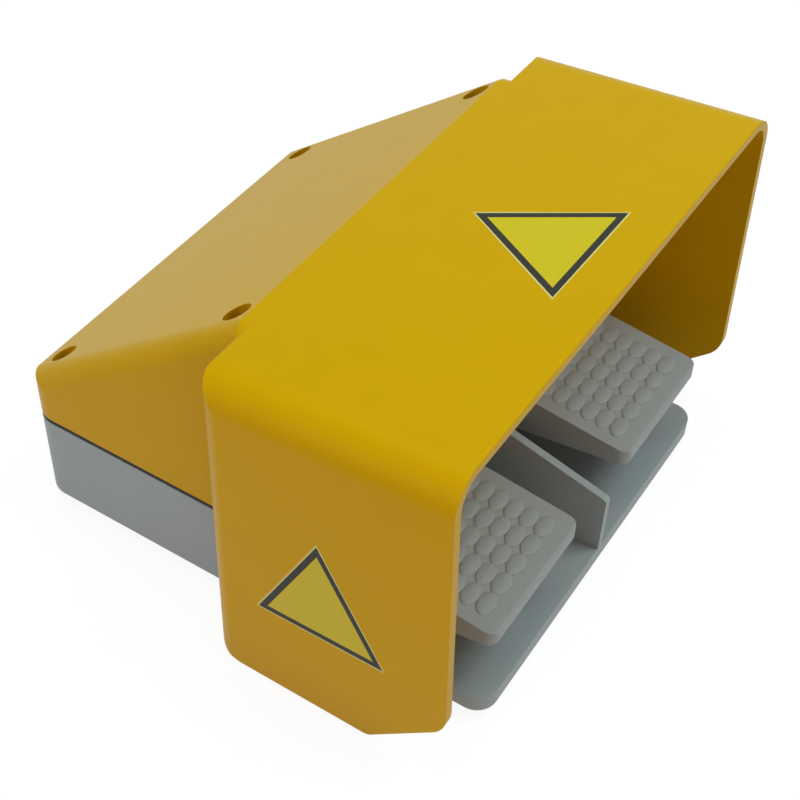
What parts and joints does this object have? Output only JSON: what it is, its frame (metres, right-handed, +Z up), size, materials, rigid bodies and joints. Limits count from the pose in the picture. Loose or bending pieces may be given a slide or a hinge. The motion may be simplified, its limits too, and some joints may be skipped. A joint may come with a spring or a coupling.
{
  "type": "industrial foot switch",
  "caption": "Guarded industrial foot switch: two sprung pedals side by side under a moulded hood, a sloped switch box behind them with working plungers, and an open cable entry.",
  "frame": {"origin": "on the floor, below the middle of the overall outline", "axes": "+X to the operator's right across the pedals, +Y away from the operator towards the cable entry, +Z up"},
  "size_m": [0.215, 0.1922, 0.1399],
  "materials": {
    "cover_yellow": "satin moulded",
    "base_grey": "fine matte texture",
    "pedal_grey": "matte, patterned tread",
    "rubber_black": "matte",
    "bearing_black": "smooth",
    "zinc_steel": "zinc plated",
    "block_ivory": "smooth moulded",
    "terminal_brass": "plain"
  },
  "bodies": {
    "root": {"base_tray": "base_grey", "guard_cover": "cover_yellow", "cover_gasket": "rubber_black", "cover_screws": "zinc_steel", "rubber_feet": "rubber_black", "pedal_axle": "zinc_steel", "axle_spacers": "zinc_steel", "axle_washers": "zinc_steel", "axle_circlips": "zinc_steel", "spring_left": "zinc_steel", "spring_right": "zinc_steel", "stop_buffers": "rubber_black", "rest_buffers": "rubber_black", "block_bracket": "zinc_steel", "bracket_screws": "zinc_steel", "contact_block_left": "block_ivory", "contact_block_right": "block_ivory", "block_screws": "zinc_steel", "terminal_screws": "terminal_brass", "earth_terminal": "terminal_brass"},
    "pedal_left": {"pedal_left": "pedal_grey", "bushes_left": "bearing_black", "set_screw_left": "zinc_steel", "set_nut_left": "zinc_steel"},
    "pedal_right": {"pedal_right": "pedal_grey", "bushes_right": "bearing_black", "set_screw_right": "zinc_steel", "set_nut_right": "zinc_steel"},
    "plunger_left": {"plunger_left": "bearing_black"},
    "plunger_right": {"plunger_right": "bearing_black"}
  },
  "joints": [
    {"name": "pedal_left_hinge", "type": "hinge", "parent": "root", "child": "pedal_left", "pos_m": [-0.048, -0.018, 0.034], "axis": [1, 0, 0], "range_deg": [0, 12], "stiffness_Nm_per_rad": 1.44, "springref_deg": -19.08, "deforming": ["spring_left"]},
    {"name": "pedal_right_hinge", "type": "hinge", "parent": "root", "child": "pedal_right", "pos_m": [0.048, -0.018, 0.034], "axis": [1, 0, 0], "range_deg": [0, 12], "stiffness_Nm_per_rad": 1.44, "springref_deg": -19.08, "deforming": ["spring_right"]},
    {"name": "plunger_left_slide", "type": "slide", "parent": "root", "child": "plunger_left", "axis": [0, 0, 1], "range_m": [0, 0.0053]},
    {"name": "plunger_right_slide", "type": "slide", "parent": "root", "child": "plunger_right", "axis": [0, 0, 1], "range_m": [0, 0.0053]}
  ],
  "couplings": [
    {"joint": "plunger_left_slide", "follows": "pedal_left_hinge", "m_per_rad": 0.024},
    {"joint": "plunger_right_slide", "follows": "pedal_right_hinge", "m_per_rad": 0.024}
  ]
}
